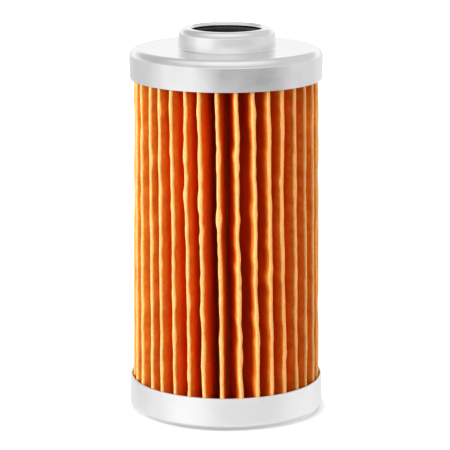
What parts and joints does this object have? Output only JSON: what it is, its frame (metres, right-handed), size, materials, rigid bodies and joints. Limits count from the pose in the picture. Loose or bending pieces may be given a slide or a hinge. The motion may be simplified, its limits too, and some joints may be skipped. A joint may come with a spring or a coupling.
{
  "type": "oil filter element",
  "caption": "Cartridge oil filter element: pleated amber paper between two pressed metal end caps, with a short sealed neck on top and a relief valve inside.",
  "frame": {"origin": "middle of the underside of the closed end cap", "axes": "+Z along the element's axis, out of the neck; the paper's seam is at +Y and the front is -Y"},
  "size_m": [0.0374, 0.0374, 0.0742],
  "materials": {
    "cap_metal": "bright satin tinplate",
    "inner_steel": "plain rolled steel sheet",
    "valve_steel": "yellow zinc plate",
    "spring_steel": "drawn spring wire",
    "black_rubber": "moulded, dull black",
    "adhesive": "cured amber adhesive",
    "filter_paper": "corrugated, cured with amber resin"
  },
  "bodies": {
    "element": {"upper_end_cap": "cap_metal", "lower_end_cap": "cap_metal", "neck_seal": "black_rubber", "seal_retainer": "inner_steel", "upper_potting": "adhesive", "lower_potting": "adhesive", "pleated_media": "filter_paper", "media_seam_clip": "inner_steel", "centre_tube": "inner_steel", "valve_cage": "inner_steel", "relief_spring": "spring_steel"},
    "relief_valve": {"valve_disc": "valve_steel", "valve_facing": "black_rubber", "valve_stem": "valve_steel"}
  },
  "joints": [
    {"name": "valve_lift", "type": "slide", "parent": "element", "child": "relief_valve", "axis": [0, 0, 1], "range_m": [0, 0.0025], "stiffness_N_per_m": 450, "springref_m": -0.0035, "deforming": ["relief_spring"]}
  ]
}
